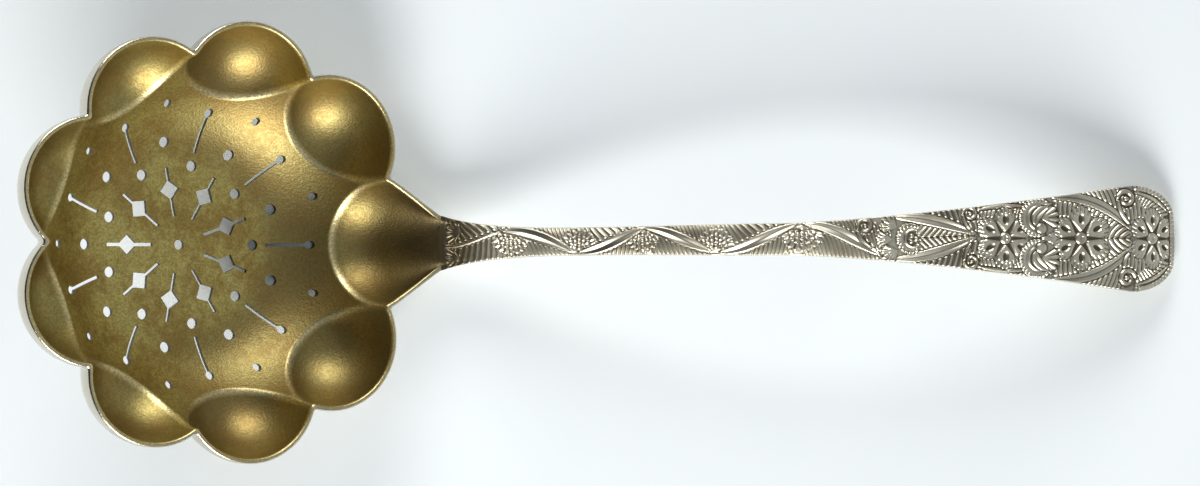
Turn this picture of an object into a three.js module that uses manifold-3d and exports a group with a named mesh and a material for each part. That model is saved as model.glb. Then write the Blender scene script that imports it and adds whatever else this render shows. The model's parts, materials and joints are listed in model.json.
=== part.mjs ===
// Sugar sifter spoon: a round lobed silver bowl, gilt inside and pierced through its floor,
// whose front lobe runs out into a short neck that is hard-soldered to a struck silver handle.
// It lies on a table on the heel of the bowl and on the end of the handle.
// Millimetres and degrees, +Z up, +X towards the end of the handle.

import * as THREE from "three";
import { mergeVertices } from "three/addons/utils/BufferGeometryUtils.js";
import Module from "manifold-3d";

// Bowl, in its own frame: origin in the middle of the inner floor, +Z out of its mouth
const wall = 0.8;
const bowlDepth = 17.8;
const floorRadius = 12.4;
const dishExponent = 1.76;
const lobeCount = 9;
const lobeCentreRadius = 23.2;
const lobeRadius = 10.4;
const lobeDepth = 12.0;
const bowlTilt = 29;

// Neck: the front lobe drawn out to the joint, ending as a shallow channel
const neckLength = 3.2;
const neckHalfWidth = 4.25;
const channelDepth = 0.6;
const neckThickness = 2.2;

// Hard-solder film in the joint, with a hair of clearance on each face
const solderThickness = 0.2;
const solderClearance = 0.02;

// Piercings: distances are from the bowl's axis
const centreHoleDiameter = 1.6;
const starRadius = 8.7;
const starHalfDiagonal = 1.65;
const starSlitInner = 4.5;
const starSlitOuter = 12.2;
const slitWidth = 0.52;
const innerHoleRadius = 12.5;
const innerHoleDiameter = 1.7;
const outerHoleRadius = 16.25;
const outerHoleDiameter = 1.7;
const keyholeInner = 14.6;
const keyholeHeadRadius = 20.8;
const keyholeHeadDiameter = 1.35;
const edgeHoleRadius = 22.2;
const edgeHoleDiameter = 1.2;

// Handle: distances are along X from the joint
const handleReach = 115.4;
const waistAt = 24;
const shoulderAt = 53;
const widestAt = 108.7;
const waistHalfWidth = 2.17;
const shoulderHalfWidth = 2.46;
const endHalfWidth = 8.32;
const endFlatHalfWidth = 3.4;
const neckFlare = 3.3;
const endFlare = 1.45;
const stemThickness = 3.0;
const endThickness = 2.0;
const stemCrown = 0.55;
const endCrown = 0.25;
const stemBackRounding = 0.9;
const endBackRounding = 0.3;
const rootBlend = 11;
const endDrop = 32;

// Facet counts
const lobeFacets = 24;
const dishFacets = 8 * lobeCount;
const dishSteps = 8;
const neckFacets = 32;
const neckSteps = 8;
const holeFacets = 10;
const sectionSteps = 7;
const rootSteps = 12;
const stemSteps = 20;
const endSteps = 7;

const wasm = await Module();
wasm.setup();

const lerp = THREE.MathUtils.lerp;
const tilt = THREE.MathUtils.degToRad(bowlTilt);
const lobePitch = (2 * Math.PI) / lobeCount;
const jointAt = lobeCentreRadius + lobeRadius + neckLength;
const channelHalfWidth = neckHalfWidth - wall;

// Radius at which two neighbouring lobes meet at the rim
const cuspRadius =
  lobeCentreRadius * Math.cos(lobePitch / 2) +
  Math.sqrt(lobeRadius ** 2 - (lobeCentreRadius * Math.sin(lobePitch / 2)) ** 2);

function solidOf(geometry) {
  const bare = geometry.index ? geometry.toNonIndexed() : geometry.clone();
  bare.deleteAttribute("normal");
  bare.deleteAttribute("uv");
  const merged = mergeVertices(bare);
  const mesh = new wasm.Mesh({
    numProp: 3,
    vertProperties: new Float32Array(merged.attributes.position.array),
    triVerts: new Uint32Array(merged.index.array),
  });
  return new wasm.Manifold(mesh);
}

function geometryOf(solid) {
  const mesh = solid.getMesh();
  const geometry = new THREE.BufferGeometry();
  geometry.setAttribute("position", new THREE.BufferAttribute(new Float32Array(mesh.vertProperties), 3));
  geometry.setIndex(new THREE.BufferAttribute(new Uint32Array(mesh.triVerts), 1));
  geometry.computeVertexNormals();
  return geometry;
}

function joined(solids) {
  return solids.reduce((whole, next) => whole.add(next));
}

// Closed loft through rings that have the same number of points and run anticlockwise
// when seen from the far end
function loft(rings) {
  const count = rings[0].length;
  const points = rings.flat();
  const faces = [];
  for (let row = 0; row + 1 < rings.length; row += 1) {
    for (let column = 0; column < count; column += 1) {
      const here = row * count + column;
      const beside = row * count + ((column + 1) % count);
      faces.push(here, beside, beside + count);
      faces.push(here, beside + count, here + count);
    }
  }
  const middle = (ring) => ring.reduce((sum, p) => sum.add(p), new THREE.Vector3()).divideScalar(count);
  const nearMiddle = points.length;
  const farMiddle = nearMiddle + 1;
  const lastRow = (rings.length - 1) * count;
  for (let column = 0; column < count; column += 1) {
    const beside = (column + 1) % count;
    faces.push(nearMiddle, beside, column);
    faces.push(farMiddle, lastRow + column, lastRow + beside);
  }
  const geometry = new THREE.BufferGeometry();
  geometry.setFromPoints([...points, middle(rings[0]), middle(rings[rings.length - 1])]);
  geometry.setIndex(faces);
  return geometry;
}

// Solid of revolution under a superelliptic dish: flat floor, wall upright at the rim
function dish(bottom, rimRadius) {
  const profile = [new THREE.Vector2(0, bottom)];
  for (let step = 0; step <= dishSteps; step += 1) {
    const angle = (Math.PI / 2) * (step / dishSteps);
    const out = Math.sin(angle) ** (2 / dishExponent);
    const up = 1 - Math.cos(angle) ** (2 / dishExponent);
    const radius = lerp(floorRadius, rimRadius, out);
    profile.push(new THREE.Vector2(radius, lerp(bottom, bowlDepth, up)));
  }
  profile.push(new THREE.Vector2(rimRadius, bowlDepth + wall));
  profile.push(new THREE.Vector2(0, bowlDepth + wall));
  return solidOf(new THREE.LatheGeometry(profile, dishFacets).rotateX(Math.PI / 2));
}

// One lobe: an ellipsoid centred in the plane of the rim
function lobe(index, thickness) {
  const geometry = new THREE.SphereGeometry(1, lobeFacets, lobeFacets / 2);
  geometry.rotateX(Math.PI / 2);
  geometry.scale(lobeRadius + thickness, lobeRadius + thickness, lobeDepth + thickness);
  geometry.translate(lobeCentreRadius, 0, bowlDepth);
  geometry.rotateZ(index * lobePitch);
  return solidOf(geometry);
}

// Half-height of an ellipse about the lobe's centre that leaves it along a tangent
// and reaches endHeight at the joint
function drawnOut(semiAlong, semiAcross, endHeight) {
  const endAlong = (jointAt - lobeCentreRadius) / semiAlong;
  const endAcross = endHeight / semiAcross;
  const touch = Math.atan2(endAcross, endAlong) + Math.acos(1 / Math.hypot(endAlong, endAcross));
  return (x) => {
    const along = (x - lobeCentreRadius) / semiAlong;
    if (along <= Math.cos(touch)) return semiAcross * Math.sqrt(Math.max(0, 1 - along ** 2));
    const share = (along - Math.cos(touch)) / (endAlong - Math.cos(touch));
    return semiAcross * lerp(Math.sin(touch), endAcross, share);
  };
}

// The front lobe and its neck, as upright elliptic rings along X
function neck(thickness, endHalfWide, endDeep, past) {
  const radius = lobeRadius + thickness;
  const halfWidth = drawnOut(radius, radius, endHalfWide);
  const depth = drawnOut(radius, lobeDepth + thickness, endDeep);
  const stations = [];
  for (let step = 1; step <= neckSteps; step += 1) {
    const angle = (Math.PI / 2) * (1 - step / neckSteps);
    stations.push(lobeCentreRadius - radius * Math.sin(angle));
  }
  for (let step = 1; step <= neckSteps; step += 1) {
    stations.push(lerp(lobeCentreRadius, jointAt, step / neckSteps));
  }
  const ringAt = (x, shift) =>
    Array.from({ length: neckFacets }, (_, k) => {
      const angle = (2 * Math.PI * k) / neckFacets;
      const y = halfWidth(x) * Math.cos(angle);
      return new THREE.Vector3(x + shift, y, bowlDepth + depth(x) * Math.sin(angle));
    });
  const rings = stations.map((x) => ringAt(x, 0));
  if (past > 0) rings.push(ringAt(jointAt, past));
  return solidOf(loft(rings));
}

// A prism along the bowl's axis, deep enough to pierce the dish anywhere
function piercing(shape, angle) {
  const below = 2 * wall;
  const geometry = new THREE.ExtrudeGeometry(shape, {
    depth: below + bowlDepth,
    bevelEnabled: false,
    curveSegments: holeFacets,
  });
  geometry.translate(0, 0, -below);
  geometry.rotateZ(angle);
  return solidOf(geometry);
}

function roundHole(radius, diameter) {
  const shape = new THREE.Shape();
  shape.absarc(radius, 0, diameter / 2, 0, 2 * Math.PI);
  return shape;
}

// A square on its corner, crossed by a radial slit
function starHole() {
  const half = slitWidth / 2;
  const shoulder = starHalfDiagonal - half;
  const side = [
    [starSlitInner, -half],
    [starRadius - shoulder, -half],
    [starRadius, -starHalfDiagonal],
    [starRadius + shoulder, -half],
    [starSlitOuter, -half],
  ];
  const mirrored = side.map(([x, y]) => [x, -y]).reverse();
  return new THREE.Shape([...side, ...mirrored].map(([x, y]) => new THREE.Vector2(x, y)));
}

// A radial slit that ends in a round head
function keyhole() {
  const half = slitWidth / 2;
  const headRadius = keyholeHeadDiameter / 2;
  const turn = Math.PI - Math.asin(half / headRadius);
  const shape = new THREE.Shape();
  shape.moveTo(keyholeInner, -half);
  shape.absarc(keyholeHeadRadius, 0, headRadius, -turn, turn);
  shape.lineTo(keyholeInner, half);
  shape.closePath();
  return shape;
}

function piercings() {
  const cuts = [piercing(roundHole(0, centreHoleDiameter), 0)];
  for (let index = 0; index < lobeCount; index += 1) {
    const onLobe = index * lobePitch;
    const betweenLobes = onLobe + lobePitch / 2;
    cuts.push(piercing(starHole(), betweenLobes));
    cuts.push(piercing(roundHole(innerHoleRadius, innerHoleDiameter), onLobe));
    cuts.push(piercing(roundHole(outerHoleRadius, outerHoleDiameter), betweenLobes));
    cuts.push(piercing(keyhole(), onLobe));
    cuts.push(piercing(roundHole(edgeHoleRadius, edgeHoleDiameter), betweenLobes));
  }
  return joined(cuts);
}

function bowlGeometry() {
  const backLobes = Array.from({ length: lobeCount - 1 }, (_, k) => k + 1);
  const outside = joined([
    dish(-wall, cuspRadius + wall),
    neck(wall, neckHalfWidth, channelDepth + neckThickness, 0),
    ...backLobes.map((index) => lobe(index, wall)),
  ]);
  const inside = joined([
    dish(0, cuspRadius),
    neck(0, channelHalfWidth, channelDepth, neckLength),
    ...backLobes.map((index) => lobe(index, 0)),
  ]);
  const span = 4 * jointAt;
  const aboveRim = new THREE.BoxGeometry(span, span, span).translate(0, 0, bowlDepth + span / 2);
  return geometryOf(outside.subtract(inside).subtract(solidOf(aboveRim)).subtract(piercings()));
}

// Cross-section as [across, up] points: over the top from one edge to the other, then back
// along the underside; up is measured from the middle of the top
function section(halfWidth, topAt, thickness, backRounding) {
  const top = [];
  const back = [];
  for (let step = sectionSteps; step >= -sectionSteps; step -= 1) {
    const share = Math.sin((Math.PI / 2) * (step / sectionSteps));
    top.push([halfWidth * share, topAt(share)]);
    const rounding = backRounding * (1 - Math.sqrt(1 - share ** 2));
    back.push([-halfWidth * share, -thickness + rounding]);
  }
  return { top, back };
}

// Top of the joint: flat edges as wide as the bowl's wall, with the channel between them
function channelTop(share) {
  const across = Math.min(1, Math.abs(share) * (neckHalfWidth / channelHalfWidth));
  return channelDepth * (1 - Math.sqrt(1 - across ** 2));
}

// The solder film fills the joint's face, from which the handle starts; there the top and the
// back meet at the edges
function solderGeometry() {
  const { top, back } = section(neckHalfWidth, channelTop, neckThickness, channelDepth + neckThickness);
  const outline = [...top, ...back.slice(1, -1)];
  const shape = new THREE.Shape(outline.map(([across, up]) => new THREE.Vector2(across, up)));
  const geometry = new THREE.ExtrudeGeometry(shape, { depth: solderThickness, bevelEnabled: false });
  geometry.rotateX(Math.PI / 2);
  geometry.rotateZ(Math.PI / 2);
  geometry.translate(jointAt + solderClearance, 0, bowlDepth - channelDepth);
  return geometry;
}

// Outline of the handle from above: flared root, slim stem, broad end with rounded corners
function handleHalfWidth(x) {
  if (x < waistAt) return lerp(waistHalfWidth, neckHalfWidth, (1 - x / waistAt) ** neckFlare);
  if (x < shoulderAt) {
    const share = (x - waistAt) / (shoulderAt - waistAt);
    return lerp(waistHalfWidth, shoulderHalfWidth, THREE.MathUtils.smoothstep(share, 0, 1));
  }
  if (x < widestAt) {
    const share = (x - shoulderAt) / (widestAt - shoulderAt);
    return lerp(shoulderHalfWidth, endHalfWidth, share ** endFlare);
  }
  const share = Math.min(1, (x - widestAt) / (handleReach - widestAt));
  return lerp(endFlatHalfWidth, endHalfWidth, Math.sqrt(1 - share ** 2));
}

function handleStations() {
  const stations = [];
  for (let step = 0; step < rootSteps; step += 1) {
    stations.push(waistAt * (step / rootSteps));
  }
  for (let step = 0; step < stemSteps; step += 1) {
    stations.push(lerp(waistAt, widestAt, step / stemSteps));
  }
  for (let step = 0; step <= endSteps; step += 1) {
    const round = Math.sin((Math.PI / 2) * (step / endSteps));
    stations.push(lerp(widestAt, handleReach, round));
  }
  return stations;
}

// The handle's top line in the XZ plane, from the joint over its arch to the table; its control
// points are a third of the reach apart, so it advances evenly along X
function spineCurve(rise, endHeight) {
  const third = handleReach / 3;
  const drop = THREE.MathUtils.degToRad(endDrop);
  return new THREE.CubicBezierCurve(
    new THREE.Vector2(0, 0),
    new THREE.Vector2(third, third * Math.tan(rise)),
    new THREE.Vector2(handleReach - third, endHeight + third * Math.tan(drop)),
    new THREE.Vector2(handleReach, endHeight),
  );
}

function handleGeometry(spine) {
  const rings = handleStations().map((x) => {
    const point = spine.getPoint(x / handleReach);
    const direction = spine.getTangent(x / handleReach);
    const free = THREE.MathUtils.smoothstep(x, 0, rootBlend);
    const along = THREE.MathUtils.smoothstep(x, shoulderAt, handleReach);
    const lean = lerp(tilt, -Math.atan2(direction.y, direction.x), free);
    const crown = lerp(stemCrown, endCrown, along);
    const topAt = (across) => lerp(channelTop(across), -crown * across ** 2, free);
    const thickness = lerp(lerp(neckThickness, stemThickness, free), endThickness, along);
    const freeRounding = lerp(stemBackRounding, endBackRounding, along);
    const rounding = lerp(channelDepth + neckThickness, freeRounding, free);
    const { top, back } = section(handleHalfWidth(x), topAt, thickness, rounding);
    return [...top, ...back].map(
      ([across, up]) =>
        new THREE.Vector3(point.x + up * Math.sin(lean), across, point.y + up * Math.cos(lean)),
    );
  });
  return loft(rings);
}

function named(name, geometry, colour, roughness) {
  const material = new THREE.MeshStandardMaterial({ color: colour, roughness, metalness: 1 });
  const mesh = new THREE.Mesh(geometry, material);
  mesh.name = name;
  return mesh;
}

const bowlGroup = new THREE.Group();
bowlGroup.rotation.y = tilt;
bowlGroup.add(named("sifter_bowl", bowlGeometry(), 0x9a8459, 0.36));
bowlGroup.add(named("solder_seam", solderGeometry(), 0xc4bca8, 0.4));

const spoon = new THREE.Group();
spoon.add(bowlGroup);
spoon.updateMatrixWorld(true);
bowlGroup.position.z = -new THREE.Box3().setFromObject(bowlGroup, true).min.z;
spoon.updateMatrixWorld(true);

// The handle carries on along the floor of the neck's channel and comes down to the table
const handleStart = jointAt + solderThickness + 2 * solderClearance;
const joint = bowlGroup.localToWorld(new THREE.Vector3(handleStart, 0, bowlDepth - channelDepth));
const channelFloor = drawnOut(lobeRadius, lobeDepth, channelDepth);
const channelRise = Math.atan2(channelFloor(jointAt - neckLength) - channelDepth, neckLength);
const endHeight = endThickness * Math.cos(THREE.MathUtils.degToRad(endDrop)) - joint.z;
const spine = spineCurve(channelRise - tilt, endHeight);
const handle = named("handle", handleGeometry(spine), 0xc9c2b2, 0.38);
handle.position.copy(joint);
spoon.add(handle);

// Origin on the table, under the middle of the whole spoon
const box = new THREE.Box3().setFromObject(spoon, true);
spoon.position.set(-(box.min.x + box.max.x) / 2, -(box.min.y + box.max.y) / 2, -box.min.z);

export default spoon;
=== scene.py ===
"""Looks of a sugar sifter spoon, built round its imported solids.

The bowl is one raised sheet with nine lobes, gilt inside, silver outside and pierced through its floor.
The handle is a struck silver bar with flowers, ferns and scrolls in low relief on its face.
Sizes are in metres.
The bowl's own frame has its origin in the middle of the inner floor, with +Z out of its mouth.
"""

import json
import math

import bpy
import numpy as np
from bpy.props import FloatProperty, FloatVectorProperty, IntProperty, PointerProperty
from mathutils import Euler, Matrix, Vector


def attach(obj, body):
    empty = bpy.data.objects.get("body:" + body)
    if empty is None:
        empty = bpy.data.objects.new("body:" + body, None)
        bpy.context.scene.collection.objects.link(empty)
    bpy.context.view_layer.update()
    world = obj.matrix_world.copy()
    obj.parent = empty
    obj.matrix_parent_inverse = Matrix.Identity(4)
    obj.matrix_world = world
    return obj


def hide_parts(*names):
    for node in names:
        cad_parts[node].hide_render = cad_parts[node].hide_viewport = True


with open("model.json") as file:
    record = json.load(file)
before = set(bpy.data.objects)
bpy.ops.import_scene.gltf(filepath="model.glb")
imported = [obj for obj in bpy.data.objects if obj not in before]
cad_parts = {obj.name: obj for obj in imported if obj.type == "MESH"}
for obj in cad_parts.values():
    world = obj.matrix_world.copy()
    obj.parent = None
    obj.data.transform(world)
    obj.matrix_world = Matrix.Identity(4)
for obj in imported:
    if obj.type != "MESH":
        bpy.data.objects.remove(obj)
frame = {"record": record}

bl_info = {
    "name": "Sugar Sifter Spoon",
    "version": (1, 0, 0),
    "blender": (4, 5, 0),
    "location": "View3D > Sidebar > Sifter",
    "description": "Builds a pierced gilt sifter bowl and its struck silver handle round their solids",
    "category": "Object",
}

MM = 0.001
BODY = "root"
BOWL_NODE = "sifter_bowl"
SEAM_NODE = "solder_seam"
HANDLE_NODE = "handle"
MOUNTS = {mount["name"]: mount for mount in frame["record"]["mounts"]}
FLOOR_MOUNT = MOUNTS["bowl_floor"]
TINY = 1e-9

# Points of the bowl: round the rim, in rings over lobes, dish and floor, and round its holes
RIM_POINTS = 576
INNER_RINGS = (36, 44, 4)
OUTER_RINGS = (24, 28, 3)
BEAD_RINGS = 6
HOLE_SIDES = 24
HEAD_SIDES = 22
BOWL_CREASE = math.radians(40)

# Points of the handle: a section's loop runs over the face, down a side, along the back and up
LOOP_STRETCHES = 4
SIDE_STEPS = 3
SIDE_PARTS = np.arange(1, SIDE_STEPS + 1) / (SIDE_STEPS + 1)
BACK_STEPS = 11
FEWEST_CELLS = 24
SEAM_STEPS = 41
HANDLE_CREASE = math.radians(70)

SENSOR_WIDTH = 36


def length(name, description, millimetres):
    """A length that a user may change, written in millimetres."""
    return FloatProperty(
        name=name, description=description, default=millimetres * MM, unit="LENGTH", precision=5
    )


def power(name, description, watts):
    """The power of a lamp."""
    return FloatProperty(name=name, description=description, default=watts, unit="POWER")


def number(name, description, default):
    """A plain number with no unit."""
    return FloatProperty(name=name, description=description, default=default, precision=4)


def angle(name, description, degrees):
    """An angle, written in degrees."""
    return FloatProperty(name=name, description=description, default=math.radians(degrees), subtype="ANGLE")


def colour(name, description, default):
    """A linear colour."""
    return FloatVectorProperty(
        name=name, description=description, default=default, subtype="COLOR", size=3, min=0, max=1
    )


def lerp(start, end, part):
    """The value that lies a given part of the way from start to end."""
    return start + (end - start) * part


def smoothstep(value, low, high):
    """A rise from 0 to 1 between two limits, level at both."""
    part = np.clip((value - low) / (high - low), 0, 1)
    return part * part * (3 - 2 * part)


def eased(step, count):
    """A step's part of a count, with shorter steps at both ends."""
    return (1 - math.cos(math.pi * step / count)) / 2


def arc(across):
    """Height of a half circle at a part of its radius."""
    return np.sqrt(np.maximum(1 - across ** 2, 0))


def round_points(centre, radius, turns):
    """Points in a plane at turns about a centre."""
    return np.stack([centre[0] + radius * np.cos(turns), centre[1] + radius * np.sin(turns)], axis=1)


def ripple(phase):
    """A wave that is 1 at whole numbers and 0 halfway between them."""
    return 0.5 + 0.5 * np.cos(2 * math.pi * phase)


def fluted(wave, depth):
    """A height of 1 that dips by a depth in the narrow valleys of a wave."""
    return 1 - depth * (1 - wave) ** 2


def tapered(half, part, blunt, taper):
    """Half a width that narrows towards both ends of a path, at a part of its length."""
    return half * np.sin(math.pi * np.clip(part, blunt, 1 - blunt)) ** taper


class SifterBowlSizes(bpy.types.PropertyGroup):
    """Sizes of the bowl, its neck and its piercings."""

    tilt: angle("Tilt", "How far the mouth leans towards the handle", math.degrees(
        math.atan2(-FLOOR_MOUNT["axis"][0], -FLOOR_MOUNT["axis"][2])
    ))
    mount_offset: length("Mount offset", "Distance of the floor's rest point from the bowl's axis", 2.6)
    wall: length("Wall", "Thickness of the sheet", 0.8)
    depth: length("Depth", "Depth of the bowl at its middle", 17.8)
    floor_radius: length("Floor radius", "Radius of the flat middle of the floor", 12.4)
    dish_exponent: number("Dish exponent", "Fullness of the curve from floor to rim", 1.76)
    lobe_count: IntProperty(name="Lobes", description="Lobes round the rim, the neck's included", default=9)
    lobe_centre: length("Lobe centre", "Distance of a lobe's middle from the bowl's axis", 23.2)
    lobe_radius: length("Lobe radius", "Radius of a lobe in the plane of the rim", 10.4)
    lobe_depth: length("Lobe depth", "Depth of a lobe below the rim", 12.0)
    neck_length: length("Neck length", "How far the front lobe is drawn out to the joint", 3.2)
    neck_half_width: length("Neck half width", "Half the neck's width at the joint", 4.25)
    neck_thickness: length("Neck thickness", "Thickness under the channel at the joint", 2.2)
    channel_depth: length("Channel depth", "Depth of the neck's channel at the joint", 0.6)
    solder_gap: length("Solder gap", "Room for the solder film between neck and handle", 0.24)
    crest_width: length("Crest width", "Width over which the crests between lobes are rounded", 0.75)
    centre_hole: length("Centre hole", "Diameter of the hole in the middle", 1.6)
    star_at: length("Star place", "Distance of the star piercings from the axis", 8.7)
    star_half: length("Star half diagonal", "Half the diagonal of a star's lozenge", 1.65)
    star_inner: length("Star slit start", "Where a star's slit starts", 4.5)
    star_outer: length("Star slit end", "Where a star's slit ends", 12.2)
    slit_width: length("Slit width", "Width of the sawn slits", 0.52)
    inner_hole_at: length("Inner hole place", "Distance of the inner round holes from the axis", 12.5)
    outer_hole_at: length("Outer hole place", "Distance of the outer round holes from the axis", 16.25)
    round_hole: length("Round hole", "Diameter of the inner and outer round holes", 1.7)
    keyhole_inner: length("Keyhole start", "Where a keyhole's slit starts", 14.6)
    keyhole_at: length("Keyhole place", "Distance of a keyhole's round head from the axis", 20.8)
    keyhole_head: length("Keyhole head", "Diameter of a keyhole's head", 1.35)
    edge_hole_at: length("Edge hole place", "Distance of the small holes near the rim", 22.2)
    edge_hole: length("Edge hole", "Diameter of the small holes near the rim", 1.2)


class SifterHandleSizes(bpy.types.PropertyGroup):
    """Sizes of the handle, along X from the joint, and of its relief."""

    reach: length("Reach", "Length from the joint to the end", 115.4)
    waist_at: length("Waist place", "Where the root has narrowed to the stem", 24)
    shoulder_at: length("Shoulder place", "Where the stem starts to broaden", 53)
    widest_at: length("Widest place", "Where the end is widest", 108.7)
    waist_half: length("Waist half width", "Half the stem's least width", 2.17)
    shoulder_half: length("Shoulder half width", "Half the width at the shoulder", 2.46)
    end_half: length("End half width", "Half the greatest width", 8.32)
    end_flat_half: length("End flat half width", "Half the straight part of the end", 3.4)
    root_flare: number("Root flare", "How suddenly the root broadens", 3.3)
    end_flare: number("End flare", "How late the end broadens", 1.45)
    stem_thickness: length("Stem thickness", "Thickness of the stem", 3.0)
    end_thickness: length("End thickness", "Thickness of the broad end", 2.0)
    stem_crown: length("Stem crown", "How far the stem's face is crowned", 0.55)
    end_crown: length("End crown", "How far the end's face is crowned", 0.25)
    stem_rounding: length("Stem rounding", "Rounding of the stem's back edges", 0.9)
    end_rounding: length("End rounding", "Rounding of the end's back edges", 0.3)
    root_blend: length("Root blend", "Length over which the channel fades into the crowned face", 11)
    struck_from: length("Struck from", "Where the ornament starts to rise out of the neck", 0.3)
    struck_full: length("Struck full", "Where the ornament has its full depth", 1.8)
    gilt_full: length("Gilt full", "How far the bowl's gilding fully covers the root", 1.5)
    gilt_end: length("Gilt end", "Where the gilding on the root has faded out", 9.5)
    end_drop: angle("End drop", "Slope of the end towards the table", 32)
    relief: length("Relief", "Depth of the ground below the tops of the ornament", 0.42)
    edge_rounding: length("Edge rounding", "Rounding of the edges of the face", 0.22)
    cell: length("Cell", "Spacing of the points of the face", 0.115)


class SifterFinishes(bpy.types.PropertyGroup):
    """Colours of the finishes."""

    gilt: colour("Gilt", "Gilding on the floor", (0.74, 0.625, 0.21))
    gilt_brown: colour("Brown gilt", "Duller, browner patches of the gilding", (0.5, 0.345, 0.1))
    # Painted shade: gilt darkened in the lobes and on the dish's side towards the neck, with random coppery
    # patches in the next colour
    gilt_painted_shade: colour("Side gilt", "Deeper gilding in lobes and near the neck", (0.262, 0.212, 0.083))
    gilt_painted_shade_coppery: colour("Warm gilt", "Coppery patches of the deeper gilding", (0.32, 0.19, 0.06))
    # Painted shade: gilt darkened at the joint, on the neck's end, on the solder and on the handle's root
    gilt_joint_shade: colour("Smoky gilt", "Dull gilding at the joint", (0.15, 0.118, 0.062))
    gilt_dark: colour("Dark gilt", "Darkest grains of the gilding", (0.2, 0.135, 0.05))
    # Painted shade: the walls of the piercings coloured nearly black
    piercing_wall_shade: colour("Sawn gilt", "Walls of the piercings", (0.035, 0.031, 0.018))
    # Partly worn gilding on the rim, partly a painted highlight along the crests between lobes
    gilt_worn_and_highlight: colour("Worn gilt", "Thin gilding on crests and on the rim", (0.92, 0.8, 0.44))
    silver: colour("Silver", "Bare silver", (0.75, 0.705, 0.575))
    silver_shade: colour("Toned silver", "Faintly toned patches of the silver", (0.58, 0.53, 0.42))
    oxide: colour("Oxide", "Dark toning in the recesses", (0.1, 0.078, 0.055))
    table: colour("Table", "Pale surface under the spoon", (0.92, 0.965, 0.985))
    table_pale: colour("Table patches", "Paler patches of the surface", (0.955, 1.0, 1.0))


class SifterStageSettings(bpy.types.PropertyGroup):
    """Camera and lamps."""

    camera_place: FloatVectorProperty(
        name="Camera place", description="Where the camera stands", default=(0.0086, -0.01713, 0.78847),
        subtype="TRANSLATION", unit="LENGTH", size=3,
    )
    camera_turn: FloatVectorProperty(
        name="Camera turn", description="How the camera is turned from looking straight down",
        default=[math.radians(turn) for turn in (1.239, 0.734, -0.376)],
        subtype="EULER", unit="ROTATION", size=3,
    )
    lens: FloatProperty(name="Lens", description="Focal length in millimetres", default=150)
    lamp_distance: length("Lamp distance", "Distance of the soft boxes from the spoon", 950)
    lamp_turn: angle("Lamp turn", "Turn of the soft boxes from the handle's direction", 96)
    lamp_width: length("Lamp width", "Width of the soft boxes", 560)
    key_height: angle("Key height", "Elevation of the near soft box", 29)
    key_tall: length("Key tallness", "Height of the near soft box", 420)
    key_power: power("Key power", "Power of the near soft box", 10.0)
    fill_height: angle("Fill height", "Elevation of the far soft box", 26)
    fill_tall: length("Fill tallness", "Height of the far soft box", 380)
    fill_power: power("Fill power", "Power of the far soft box", 5.6)
    room_dark: number("Dark side", "Brightness of the room beyond the bowl", 0.024)
    room_light: number("Light side", "Brightness of the room beyond the handle", 0.43)


class Signal:
    """A shader value on which Python's arithmetic adds Math nodes."""

    def __init__(self, finish, socket):
        self.finish = finish
        self.socket = socket

    def __add__(self, other):
        return self.finish.math("ADD", self, other)

    def __radd__(self, other):
        return self.finish.math("ADD", other, self)

    def __sub__(self, other):
        return self.finish.math("SUBTRACT", self, other)

    def __rsub__(self, other):
        return self.finish.math("SUBTRACT", other, self)

    def __mul__(self, other):
        return self.finish.math("MULTIPLY", self, other)

    def __rmul__(self, other):
        return self.finish.math("MULTIPLY", other, self)


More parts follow.
